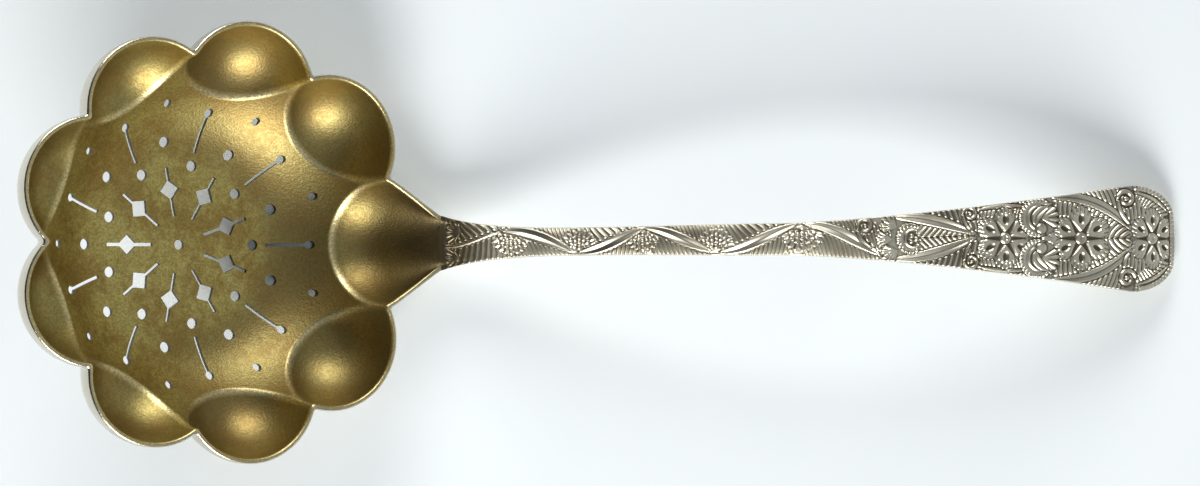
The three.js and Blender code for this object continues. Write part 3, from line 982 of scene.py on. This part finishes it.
class Relief:
    """The struck ornament as a height from 0, the ground, to 1, the plain face, over the handle's plan.

    Places and sizes are in millimetres from the joint and from the middle line.
    Motifs are set in one after another, and each one cuts a narrow moat into those before it.
    """

    STEP = 0.05
    SAMPLES = 90
    MOAT = 0.2
    GROUND = 0.1
    SUNK = 0.12
    LEAST_HALF = 1e-3
    SOFTENED = 1.0
    SURROUNDINGS = 6.0
    SHALLOW = 0.4
    HOLLOW_TONING = 1.6
    GROUND_TONING = 1.2
    STEM_TONING = 0.55
    BRIGHT_UP_TO = 50
    DARK_FROM = 85
    LAST_CELL = 1.001

    def __init__(self, reach, half):
        self.half = half
        self.across = np.arange(-half, half + self.STEP, self.STEP)
        self.along = np.arange(0, reach + self.STEP, self.STEP)
        self.height = np.full((len(self.across), len(self.along)), self.GROUND)

    def window(self, low, high):
        """The part of the field between two corners, with the places of its cells."""
        columns = self.cells(low[0], high[0])
        rows = self.cells(low[1] + self.half, high[1] + self.half)
        return (rows, columns), self.along[columns][None, :], self.across[rows][:, None]

    def cells(self, low, high):
        """The cells between two distances from the field's edge."""
        return slice(max(0, int(low / self.STEP)), max(0, int(high / self.STEP) + 2))

    def about(self, centre, radius):
        """The field round a centre: its part, and how far ahead and beside each cell lies."""
        margin = radius + self.MOAT
        part, x, y = self.window(np.array(centre) - margin, np.array(centre) + margin)
        return part, x - centre[0], y - centre[1]

    def around(self, centre, radius):
        """The field round a centre: its part, the distance and the direction of each cell."""
        part, ahead, beside = self.about(centre, radius)
        return part, np.hypot(ahead, beside), np.arctan2(beside, ahead)

    def set_in(self, part, inside, height):
        """Sets heights where inside is above 0, and a moat round them."""
        field = self.height[part]
        moat = smoothstep(-inside, 0.3 * self.MOAT, 1.2 * self.MOAT)
        self.height[part] = np.where(inside > 0, height, field * moat)

    def path_field(self, path, reach):
        """For the cells near a path: how far along it, how far beside it, and the path's length."""
        margin = reach + self.MOAT
        part, x, y = self.window(path.min(axis=0) - margin, path.max(axis=0) + margin)
        steps = np.diff(path, axis=0)
        tangents = np.gradient(path, axis=0)
        tangents /= np.linalg.norm(tangents, axis=1, keepdims=True)
        travelled = np.concatenate([[0], np.cumsum(np.hypot(steps[:, 0], steps[:, 1]))])
        dx = x[..., None] - path[:, 0]
        dy = y[..., None] - path[:, 1]
        nearest = np.argmin(dx ** 2 + dy ** 2, axis=-1)
        dx = np.take_along_axis(dx, nearest[..., None], -1)[..., 0]
        dy = np.take_along_axis(dy, nearest[..., None], -1)[..., 0]
        forward = tangents[nearest]
        ahead = dx * forward[..., 0] + dy * forward[..., 1]
        beside = forward[..., 0] * dy - forward[..., 1] * dx
        return part, travelled[nearest] + ahead, beside, travelled[-1]

    def curve(self, *controls):
        """Points along a Bezier curve."""
        points = [np.array(control, float)[None] for control in controls]
        part = np.linspace(0, 1, self.SAMPLES)[:, None]
        while len(points) > 1:
            points = [lerp(first, second, part) for first, second in zip(points, points[1:])]
        return points[0]

    def spiral(self, centre, radius, start, turns, ratio):
        """Points along a spiral that winds in from a radius to a part of it."""
        part = np.linspace(0, 1, self.SAMPLES)
        return round_points(centre, radius * ratio ** part, start + 2 * math.pi * turns * part)

    def stroke(self, path, half, top=0.95, taper=0.3):
        """A half-round raised line, finer at its ends."""
        part, along, beside, total = self.path_field(path, half)
        wide = tapered(half, along / total, blunt=0.03, taper=taper)
        past = np.maximum(np.maximum(-along, along - total), 0)
        apart = np.hypot(beside, past) / wide
        self.set_in(part, (1 - apart) * wide, top * arc(apart))

    def blade(self, path, half):
        """A smooth leaf, pointed at both ends, whose sides slope down to a crease."""
        part, along, beside, total = self.path_field(path, half)
        wide = tapered(half, along / total, blunt=0, taper=0.6)
        apart = np.abs(beside) / np.maximum(wide, self.LEAST_HALF)
        sides = lerp(0.08, 1.0, np.clip(apart, 0, 1) ** 0.85)
        self.set_in(part, wide - np.abs(beside), sides - 0.2 * smoothstep(apart, 0.8, 1.0))

    def barbs(self, path, side, start, reach, pitch, slant, bend=0.0, keep=0):
        """A row of narrow leaves along one side of a path, and if asked on one side of the middle only."""
        part, along, beside, total = self.path_field(path, reach)
        away = beside * side
        wave = ripple((along + away * slant + bend * away ** 2) / pitch)
        ridge = 0.92 * fluted(wave, 0.9)
        tip = reach * (0.85 + 0.15 * wave)
        inside = np.minimum(np.minimum(away - start, tip - away), np.minimum(along, total - along))
        if keep:
            inside = np.minimum(inside, keep * self.across[part[0]][:, None])
        self.set_in(part, inside, ridge)

    def ball(self, centre, radius):
        """A round knob."""
        part, reach, _ = self.around(centre, radius)
        self.set_in(part, radius - reach, arc(reach / radius))

    def fan(self, centre, radius, facing, spread, flutes, plain):
        """A shell whose flutes spread from a point, with a plain middle and a scalloped margin."""
        part, reach, direction = self.around(centre, radius)
        turn = (direction - facing + math.pi) % (2 * math.pi) - math.pi
        out = np.clip(reach / radius, 0, 1)
        wave = ripple(flutes * turn / spread / 2)
        margin = smoothstep(out, plain, plain + 0.3)
        inside = np.minimum((0.86 + 0.14 * wave) * radius - reach, (spread - np.abs(turn)) * reach)
        body = lerp(0.2, 0.95, out ** 0.7)
        self.set_in(part, inside, body * lerp(1, fluted(wave, 0.85), margin))

    def palmette(self, node, radius, facing):
        """A small half flower: three tiers of petals that spread from a knob."""
        for part, petals in ((1, 9), (0.66, 6), (0.38, 4)):
            self.fan(node, part * radius, facing, spread=1.5, flutes=petals, plain=0.1)
        self.ball(node, 0.16 * radius)

    def volute(self, centre, radius, start, hand, tail):
        """A curl that winds in to a knob, with a tail."""
        winding = self.spiral(centre, radius, start, turns=1.05 * hand, ratio=0.42)
        self.sink(centre, 0.95 * radius)
        self.stroke(self.curve(tuple(winding[0]), *tail), 0.22 * radius, taper=0.15)
        self.stroke(winding, 0.26 * radius, taper=0.15)
        self.ball(centre, 0.3 * radius)

    def sink(self, centre, radius):
        """A sunken round ground."""
        part, reach, _ = self.around(centre, radius)
        self.set_in(part, radius - reach, self.SUNK)

    def scroll(self, path, half, pitch, side):
        """A broad hollow scroll with a beaded margin on one side."""
        part, along, beside, total = self.path_field(path, half)
        wide = tapered(half, along / total, blunt=0.02, taper=0.25)
        across = np.clip(beside * side / wide, -1, 1)
        hollow = 0.2 + 0.75 * smoothstep(across, -0.4, 0.6) + 0.55 * smoothstep(-across, 0.4, 0.8)
        beaded = smoothstep(across, 0.0, 0.3)
        inside = np.minimum(wide - np.abs(beside), np.minimum(along, total - along) + 0.1)
        self.set_in(part, inside, hollow * lerp(1, fluted(ripple(along / pitch), 0.8), beaded))

    def flower(self, centre, radius, squeeze=1.0):
        """A flower of six pitted petals round a sunken star with a button in its middle."""
        part, ahead, beside = self.about(centre, radius)
        ahead = ahead / squeeze
        reach = np.hypot(ahead, beside) / radius
        turn = np.arctan2(beside, ahead)
        sixth = math.pi / 3
        hatch_lines = 42
        ray_reach = 0.74
        pit_at = 0.6
        pit_long = 0.17
        pit_wide = 0.095
        off_ray = np.abs((turn + sixth / 2) % sixth - sixth / 2)
        off_petal = sixth / 2 - off_ray
        rim = 0.7 + 0.3 * np.cos(off_petal * 2.8)
        hatch = fluted(ripple(hatch_lines * turn / (2 * math.pi)), 0.8)
        swell = 0.3 + 0.7 * arc(2 * off_petal / sixth)
        dome = 0.6 + 0.4 * np.sin(math.pi * np.clip(reach / rim, 0, 1))
        petal = swell * dome * lerp(1, hatch, smoothstep(reach / rim, 0.78, 0.84))
        along_ray = reach * np.cos(off_ray)
        ray_half = 0.1 * np.minimum(np.clip(1 - along_ray / ray_reach, 0, 1) * 1.6, 1)
        ray = 1 - smoothstep(reach * np.sin(off_ray), 0.5 * ray_half, ray_half + 0.02)
        petal = petal * (1 - 0.95 * ray * (along_ray < ray_reach))
        pit_ahead = (reach * np.cos(off_petal) - pit_at) / pit_long
        pit = pit_ahead ** 2 + (reach * np.sin(off_petal) / pit_wide) ** 2
        petal = petal * smoothstep(pit, 0.25, 1.4)
        self.set_in(part, (rim - reach) * radius, petal)
        button = 0.19 * radius
        dimple = 0.07 * radius
        self.ball(centre, button)
        part, reach, _ = self.around(centre, dimple)
        self.height[part] *= 1 - 0.6 * (dimple - reach > 0)

    def finished(self):
        """The heights, very slightly softened, and how dark each place is toned."""
        soft = blurred(self.height, self.SOFTENED)
        hollow = blurred(self.height, self.SURROUNDINGS) - soft
        ground = np.clip(self.SHALLOW - soft, 0, 1)
        toned = lerp(self.STEM_TONING, 1, smoothstep(self.along, self.BRIGHT_UP_TO, self.DARK_FROM))
        dark = self.HOLLOW_TONING * hollow + self.GROUND_TONING * ground
        return soft, np.clip(dark * toned, 0, 1)

    def at(self, field, x, y):
        """Values of a field at places in metres."""
        column = np.clip(x / MM / self.STEP, 0, len(self.along) - self.LAST_CELL)
        row = np.clip((y / MM + self.half) / self.STEP, 0, len(self.across) - self.LAST_CELL)
        i = column.astype(int)
        j = row.astype(int)
        u = column - i
        v = row - j
        low = lerp(field[j, i], field[j, i + 1], u)
        high = lerp(field[j + 1, i], field[j + 1, i + 1], u)
        return lerp(low, high, v)


def blurred(field, spread):
    """A field blurred over a number of cells."""
    reach = int(3 * spread)
    weights = np.exp(-0.5 * (np.arange(-reach, reach + 1) / spread) ** 2)
    weights /= weights.sum()
    for axis in (0, 1):
        border = [(reach, reach) if side == axis else (0, 0) for side in (0, 1)]
        padded = np.pad(field, border, mode="edge")
        size = field.shape[axis]
        shifted = [np.take(padded, np.arange(size) + step, axis=axis) for step in range(len(weights))]
        field = sum(weight * layer for weight, layer in zip(weights, shifted))
    return field


def inwards(relief, half_width):
    """How far each place of the face lies inside its outline."""
    half = half_width(relief.along * MM) / MM
    slope = np.gradient(half, relief.STEP)
    beside = (half - np.abs(relief.across[:, None])) / np.sqrt(1 + slope ** 2)
    return np.minimum(beside, relief.along[-1] - relief.along)


def draw_root(relief):
    """Fern sprays where the handle grows out of the neck."""
    vein = relief.curve((0.6, -0.5), (3.4, -0.8), (5.6, 0.5), (9.4, 1.8))
    relief.barbs(vein, 1, start=0.35, reach=4.6, pitch=0.95, slant=0.3, bend=0.08)
    relief.barbs(vein, -1, start=0.35, reach=5.0, pitch=0.9, slant=0.45)
    relief.fan((3.3, 1.5), 2.6, math.radians(168), spread=1.1, flutes=6, plain=0.3)
    relief.fan((3.0, -2.2), 2.3, math.radians(192), spread=1.1, flutes=6, plain=0.3)
    relief.stroke(vein, 0.3, top=1.0, taper=0.15)


def draw_stem(relief):
    """A vine of long smooth leaves that cross the stem, with small half flowers between."""
    falling = (
        relief.curve((9.4, 1.75), (13.3, 2.0), (16.5, 0.6), (20.8, -1.6)),
        relief.curve((31.9, 1.85), (35.2, 1.8), (38.0, -0.2), (42.3, -1.75)),
        relief.curve((56.4, 2.3), (60.7, 2.3), (63.5, 0.2), (68.4, -2.5)),
    )
    rising = (
        relief.curve((21.4, -1.75), (25.2, -1.6), (27.5, 0.3), (31.8, 1.95)),
        relief.curve((43.4, -1.95), (47.7, -1.8), (50.2, 0.6), (55.6, 2.35)),
    )
    for path in falling:
        relief.barbs(path, 1, start=0.4, reach=4.0, pitch=0.8, slant=1.1)
        relief.barbs(path, -1, start=0.4, reach=5.2, pitch=0.95, slant=-1.1)
    for path in rising:
        relief.barbs(path, 1, start=0.4, reach=5.0, pitch=0.95, slant=0.45)
        relief.barbs(path, -1, start=0.4, reach=4.0, pitch=0.8, slant=0.8)
    up = math.pi / 2
    relief.palmette((11.0, 0.9), 2.9, -up)
    relief.palmette((21.7, -1.0), 2.9, up)
    relief.palmette((31.6, 1.1), 2.7, -up)
    relief.palmette((43.0, -1.1), 2.9, up)
    relief.palmette((56.3, 1.4), 3.4, -up)
    for path in (*falling, *rising):
        relief.blade(path, 0.85)


def draw_feather(relief):
    """A volute, a shell of three scallops, a cup and a feather between two leaves."""
    relief.volute((66.1, 2.0), 1.25, math.radians(200), hand=-1, tail=((64.8, 0.2), (66.8, -1.2)))
    feather = relief.curve((74.0, 0.1), (83.0, 0.4))
    for side in (1, -1):
        relief.barbs(feather, side, start=0.08, reach=3.2, pitch=0.95, slant=-1.0)
    leaves = (
        (1, relief.curve((70.6, 3.3), (76.0, 3.3), (79.5, 2.0), (83.4, 0.7))),
        (-1, relief.curve((70.6, -3.2), (76.0, -3.1), (79.5, -1.5), (83.3, 0.1))),
    )
    for side, path in leaves:
        relief.barbs(path, side, start=0.4, reach=3.6, pitch=0.95, slant=0.66)
        relief.blade(path, 0.85)
    relief.fan((71.0, 1.7), 2.5, 2.65, spread=0.85, flutes=5, plain=0.3)
    relief.fan((71.2, -1.8), 2.7, -2.7, spread=0.85, flutes=5, plain=0.3)
    relief.fan((70.4, -0.1), 2.6, math.pi, spread=0.6, flutes=5, plain=0.3)
    cup = relief.spiral((73.4, 0.0), 1.75, math.radians(62), turns=0.66, ratio=1.0)
    relief.scroll(cup, half=0.75, pitch=0.5, side=-1)
    for place in ((73.3, 0.35), (73.2, -0.5), (74.0, -0.1)):
        relief.ball(place, 0.4)
    relief.volute((82.5, 3.8), 1.15, math.radians(170), hand=-1, tail=((81.2, 2.6), (82.4, 1.5)))
    relief.volute((82.7, -3.6), 1.15, math.radians(190), hand=1, tail=((81.4, -2.2), (82.5, -0.9)))


def draw_flowers(relief):
    """Three large flowers with scrolls and long leaves between them."""
    for side in (1, -1):
        spray = relief.curve((83.8, side * 4.4), (87.0, side * 5.2), (91.2, side * 5.0))
        relief.barbs(spray, side, start=0.1, reach=1.6, pitch=0.7, slant=0.6)
        relief.barbs(spray, -side, start=0.1, reach=2.2, pitch=0.7, slant=0.6)
        relief.stroke(spray, 0.3)
        corner = relief.curve((109.0, side * 7.2), (112.6, side * 7.4), (114.7, side * 4.0))
        relief.barbs(corner, side, start=0.3, reach=2.4, pitch=0.7, slant=0.8)
        relief.barbs(corner, -side, start=0.3, reach=3.6, pitch=0.7, slant=0.5)
        relief.blade(corner, 0.6)
        leaf = relief.curve(
            (95.6, side * 6.3), (101.8, side * 6.8), (105.2, side * 4.6), (108.8, side * 1.0)
        )
        relief.barbs(leaf, -side, start=0.4, reach=5.6, pitch=0.85, slant=0.6, bend=-0.14, keep=side)
        relief.barbs(leaf, side, start=0.4, reach=4.0, pitch=0.85, slant=1.0)
        relief.blade(leaf, 0.8)
    relief.fan((97.0, 0.0), 3.2, math.pi, spread=0.7, flutes=5, plain=0.3)
    relief.flower((88.0, 0.0), 4.8)
    relief.flower((111.8, 0.0), 4.8, 0.78)
    relief.flower((100.1, 0.0), 5.0)
    for side in (1, -1):
        opening = math.radians(50 * side)
        band = relief.spiral((93.4, side * 3.15), 2.35, opening, turns=0.66 * side, ratio=1.0)
        relief.sink((93.7, side * 3.2), 2.8)
        relief.fan((93.7, side * 3.1), 2.9, side * 0.6, spread=1.2, flutes=7, plain=0.2)
        relief.scroll(band, half=0.85, pitch=0.5, side=-side)
        relief.blade(relief.curve((93.0, side * 2.0), (92.2, side * 3.6), (94.9, side * 4.9)), 0.7)
        relief.ball((93.75, side * 1.5), 0.85)
        start = math.radians(90 + 80 * side)
        tail = ((106.0, side * 4.6), (107.9, side * 2.4))
        relief.volute((107.6, side * 6.2), 1.4, start, hand=-side, tail=tail)


def draw_edges(relief, inside):
    """Short flutes along the edge of the broad end."""
    about = 105.0
    start = 109.5
    width = 0.75
    flutes = 105
    turn = np.arctan2(relief.across[:, None], relief.along - about)
    wave = ripple(flutes * turn / (2 * math.pi))
    everywhere = (slice(None), slice(None))
    relief.set_in(everywhere, np.minimum(width - inside, relief.along - start), 0.45 + 0.45 * wave)


def draw_relief(form):
    """The whole ornament of the face."""
    sizes = form.sizes
    spare = 0.3
    relief = Relief(sizes.reach / MM, sizes.end_half / MM + spare)
    draw_root(relief)
    draw_stem(relief)
    draw_feather(relief)
    draw_flowers(relief)
    draw_edges(relief, inwards(relief, form.half_width))
    return relief


def handle_rows(sizes):
    """Places of the handle's sections, closer together round the end's corners."""
    straight = np.arange(0, sizes.widest_at, sizes.cell)
    corner = sizes.reach - sizes.widest_at
    closer = 1.3
    steps = int(closer * corner / sizes.cell)
    rounded = sizes.widest_at + corner * np.sin(np.linspace(0, math.pi / 2, steps))
    return np.concatenate([straight, rounded])


def section_loop(form, x, half, up):
    """Places across and heights round a section: over its face, down a side, along its back and up."""
    edge_back = float(form.back(x, np.array(1.0)))
    back_across = np.linspace(1, -1, BACK_STEPS)
    across = [
        np.linspace(-half, half, len(up)),
        np.full(SIDE_STEPS, half),
        back_across * half,
        np.full(SIDE_STEPS, -half),
    ]
    heights = [
        up,
        lerp(up[-1], edge_back, SIDE_PARTS),
        form.back(x, back_across),
        lerp(edge_back, up[0], SIDE_PARTS),
    ]
    return np.concatenate(across), np.concatenate(heights)


def handle_section(form, relief, fields, x):
    """One closed section of the handle: its points, their recess and gilding, and their order round it."""
    sizes = form.sizes
    heights, recesses = fields
    half = float(form.half_width(np.array(x)))
    count = max(FEWEST_CELLS, int(2 * half / sizes.cell))
    across = np.linspace(-1, 1, count)
    y = across * half
    place = np.full(count, x)
    struck = smoothstep(x, sizes.struck_from, sizes.struck_full)
    gilt = 1 - smoothstep(x, sizes.gilt_full, sizes.gilt_end)
    depth = sizes.relief * struck * (1 - relief.at(heights, place, y))
    blunt = 0.02 * MM
    to_edge = np.minimum(half - np.abs(y), sizes.reach - x + blunt)
    corner = np.clip(1 - to_edge / sizes.edge_rounding, 0, 1)
    depth = depth * (1 - 0.5 * corner) + sizes.edge_rounding * struck * (1 - arc(corner))
    dark = struck * relief.at(recesses, place, y) * (1 - 0.5 * corner)
    points = form.points(np.array(x), *section_loop(form, x, half, form.top(x, across) - depth))
    marks = np.zeros((len(points), 2))
    marks[:count, 0] = dark
    marks[:count, 1] = gilt
    order = [np.linspace(0, 1, count), 1 + SIDE_PARTS, np.linspace(2, 3, BACK_STEPS), 3 + SIDE_PARTS]
    return points, marks, np.concatenate(order)


def zip_sections(first_order, second_order, first_start, second_start):
    """Triangles between two closed sections, taken in the order of their points."""
    faces = []
    i = 0
    j = 0
    first_count = len(first_order)
    second_count = len(second_order)
    while i < first_count or j < second_count:
        next_first = first_order[i + 1] if i + 1 < first_count else LOOP_STRETCHES + first_order[0]
        next_second = second_order[j + 1] if j + 1 < second_count else LOOP_STRETCHES + second_order[0]
        here = first_start + i % first_count
        there = second_start + j % second_count
        if j >= second_count or (i < first_count and next_first <= next_second):
            faces.append((here, there, first_start + (i + 1) % first_count))
            i += 1
        else:
            faces.append((here, there, second_start + (j + 1) % second_count))
            j += 1
    return faces


def make_handle(sizes, bowl_sizes, colours):
    """The struck handle, set in the spoon."""
    form = HandleForm(sizes, bowl_sizes)
    relief = draw_relief(form)
    fields = relief.finished()
    sections = [handle_section(form, relief, fields, x) for x in handle_rows(sizes)]
    starts = np.concatenate([[0], np.cumsum([len(order) for _, _, order in sections])])
    faces = [list(range(len(sections[0][2])))]
    for index in range(len(sections) - 1):
        orders = (sections[index][2], sections[index + 1][2])
        faces += zip_sections(*orders, int(starts[index]), int(starts[index + 1]))
    faces.append(list(range(int(starts[-2]), int(starts[-1])))[::-1])
    points = np.concatenate([section[0] for section in sections])
    handle = new_mesh("struck_handle", points, faces)
    mesh = handle.data
    recess, gilded = np.concatenate([section[1] for section in sections]).T
    store(mesh, "recess", recess)
    store(mesh, "gilded", gilded)
    mesh.materials.append(struck_finish(colours))
    shade_smooth(mesh, HANDLE_CREASE)
    return handle


def make_seam(sizes, bowl_sizes, colours):
    """The film of solder between neck and handle, with a fillet that evens out the step on top."""
    form = HandleForm(sizes, bowl_sizes)
    fillet = 0.45 * MM
    proud = 0.02 * MM
    drawn_in = 0.99
    forward = np.array([math.cos(form.tilt), 0, -math.sin(form.tilt)])
    upward = np.array([math.sin(form.tilt), 0, math.cos(form.tilt)])
    across = np.linspace(-1, 1, SEAM_STEPS)
    climb = form.points(np.array(fillet), np.array(0.0), np.array(0.0)) - form.joint
    gap = bowl_sizes.solder_gap
    lift = gap * np.dot(climb, upward) / (gap + np.dot(climb, forward))
    loops = []
    for x, raised in ((0.0, 0.0), (0.0, lift), (fillet, proud)):
        half = float(form.half_width(np.array(x)))
        loops.append(form.points(np.array(x), *section_loop(form, x, half, form.top(x, across) + raised)))
    loops[0] = loops[0] - gap * forward
    middle = loops[2].mean(axis=0)
    loops[2] = lerp(middle, loops[2], drawn_in)
    count = len(loops[0])
    here = np.arange(count)
    after = (here + 1) % count
    faces = [here.tolist(), (2 * count + here)[::-1].tolist()]
    for low, high in ((0, count), (count, 2 * count)):
        faces += np.stack([low + here, high + here, high + after, low + after], axis=1).tolist()
    seam = new_mesh("solder_fillet", np.concatenate(loops), faces)
    store(seam.data, "gilded", np.tile(here < len(across), 3))
    seam.data.materials.append(solder_finish(colours))
    shade_smooth(seam.data, BOWL_CREASE)
    return seam


def make_table(colours):
    """The pale surface that the spoon lies on."""
    half = 3.0
    corners = np.array([(-half, -half, 0), (half, -half, 0), (half, half, 0), (-half, half, 0)])
    table = new_mesh("table", corners, [[0, 1, 2, 3]])
    table.data.materials.append(table_finish(colours))


def make_lamp(name, settings, turn, elevation, tall, watts):
    """A soft box beside the spoon, turned towards it."""
    lamp = bpy.data.lights.new(name, "AREA")
    lamp.shape = "RECTANGLE"
    lamp.size = settings.lamp_width
    lamp.size_y = tall
    lamp.energy = watts
    made = bpy.data.objects.new(name, lamp)
    level = settings.lamp_distance * math.cos(elevation)
    height = settings.lamp_distance * math.sin(elevation)
    made.location = (level * math.cos(turn), level * math.sin(turn), height)
    made.rotation_euler = Vector(made.location).to_track_quat("Z", "Y").to_euler()
    bpy.context.scene.collection.objects.link(made)


def make_room(settings):
    """A dim room, darker beyond the bowl than beyond the handle."""
    world = bpy.data.worlds.new("room")
    room = Finish(world)
    x = room.component("Generated", "X")
    y = room.component("Generated", "Y")
    dark_tint = (0.85, 1.0, 1.5)
    light_tint = (0.95, 1.0, 1.03)
    dark = [settings.room_dark * part for part in dark_tint]
    light = [settings.room_light * part for part in light_tint]
    beside = room.between(y * y, 0.06, 0.5)
    glow = room.mix(dark, light, room.between(x, -0.8, 0.35) * (1 - beside * 0.65))
    background = room.node("ShaderNodeBackground", None, {"Color": glow})
    room.node("ShaderNodeOutputWorld", None, {"Surface": room.signal(background, "Background")})
    bpy.context.scene.world = world


def make_camera(settings):
    """A camera above the spoon, looking down."""
    camera = bpy.data.cameras.new("camera")
    camera.sensor_fit = "HORIZONTAL"
    camera.sensor_width = SENSOR_WIDTH
    camera.lens = settings.lens
    made = bpy.data.objects.new("camera", camera)
    made.location = settings.camera_place
    made.rotation_euler = Euler(settings.camera_turn)
    bpy.context.scene.collection.objects.link(made)
    bpy.context.scene.camera = made


class SIFTER_OT_bowl(bpy.types.Operator):
    """Build the pierced, gilt bowl"""

    bl_idname = "sifter.bowl"
    bl_label = "Pierced Bowl"

    def execute(self, context):
        bowl = make_bowl(context.scene.sifter_bowl, context.scene.sifter_finishes)
        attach(bowl, BODY)
        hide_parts(BOWL_NODE)
        return {"FINISHED"}


class SIFTER_OT_seam(bpy.types.Operator):
    """Build the solder seam between neck and handle"""

    bl_idname = "sifter.seam"
    bl_label = "Solder Seam"

    def execute(self, context):
        scene = context.scene
        seam = make_seam(scene.sifter_handle, scene.sifter_bowl, scene.sifter_finishes)
        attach(seam, BODY)
        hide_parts(SEAM_NODE)
        return {"FINISHED"}


class SIFTER_OT_handle(bpy.types.Operator):
    """Build the struck handle"""

    bl_idname = "sifter.handle"
    bl_label = "Struck Handle"

    def execute(self, context):
        scene = context.scene
        handle = make_handle(scene.sifter_handle, scene.sifter_bowl, scene.sifter_finishes)
        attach(handle, BODY)
        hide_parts(HANDLE_NODE)
        return {"FINISHED"}


class SIFTER_OT_stage(bpy.types.Operator):
    """Set up the table, the lamps, the room and the camera"""

    bl_idname = "sifter.stage"
    bl_label = "Stage"

    def execute(self, context):
        settings = context.scene.sifter_stage
        make_table(context.scene.sifter_finishes)
        turn = settings.lamp_turn
        make_lamp("key", settings, -turn, settings.key_height, settings.key_tall, settings.key_power)
        make_lamp("fill", settings, turn, settings.fill_height, settings.fill_tall, settings.fill_power)
        make_room(settings)
        make_camera(settings)
        context.scene.view_settings.view_transform = "Standard"
        return {"FINISHED"}


class SIFTER_PT_panel(bpy.types.Panel):
    """Lists the spoon's pieces and sizes"""

    bl_label = "Sugar Sifter"
    bl_space_type = "VIEW_3D"
    bl_region_type = "UI"
    bl_category = "Sifter"

    def draw(self, context):
        for operator in OPERATORS:
            self.layout.operator(operator.bl_idname)
        for name, group in GROUPS.items():
            box = self.layout.box()
            for prop in group.__annotations__:
                box.prop(getattr(context.scene, name), prop)


GROUPS = {
    "sifter_bowl": SifterBowlSizes,
    "sifter_handle": SifterHandleSizes,
    "sifter_finishes": SifterFinishes,
    "sifter_stage": SifterStageSettings,
}
OPERATORS = (SIFTER_OT_bowl, SIFTER_OT_seam, SIFTER_OT_handle, SIFTER_OT_stage)
CLASSES = (*GROUPS.values(), *OPERATORS, SIFTER_PT_panel)


def register():
    """Makes the classes and their settings known to Blender."""
    for made in CLASSES:
        bpy.utils.register_class(made)
    for name, group in GROUPS.items():
        setattr(bpy.types.Scene, name, PointerProperty(type=group))


def unregister():
    """Takes the classes and their settings away again."""
    for name in GROUPS:
        delattr(bpy.types.Scene, name)
    for made in reversed(CLASSES):
        bpy.utils.unregister_class(made)


def main():
    """Builds the spoon and its stage."""
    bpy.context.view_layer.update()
    register()
    bpy.ops.sifter.bowl()
    bpy.ops.sifter.seam()
    bpy.ops.sifter.handle()
    bpy.ops.sifter.stage()


if __name__ == "__main__":
    main()
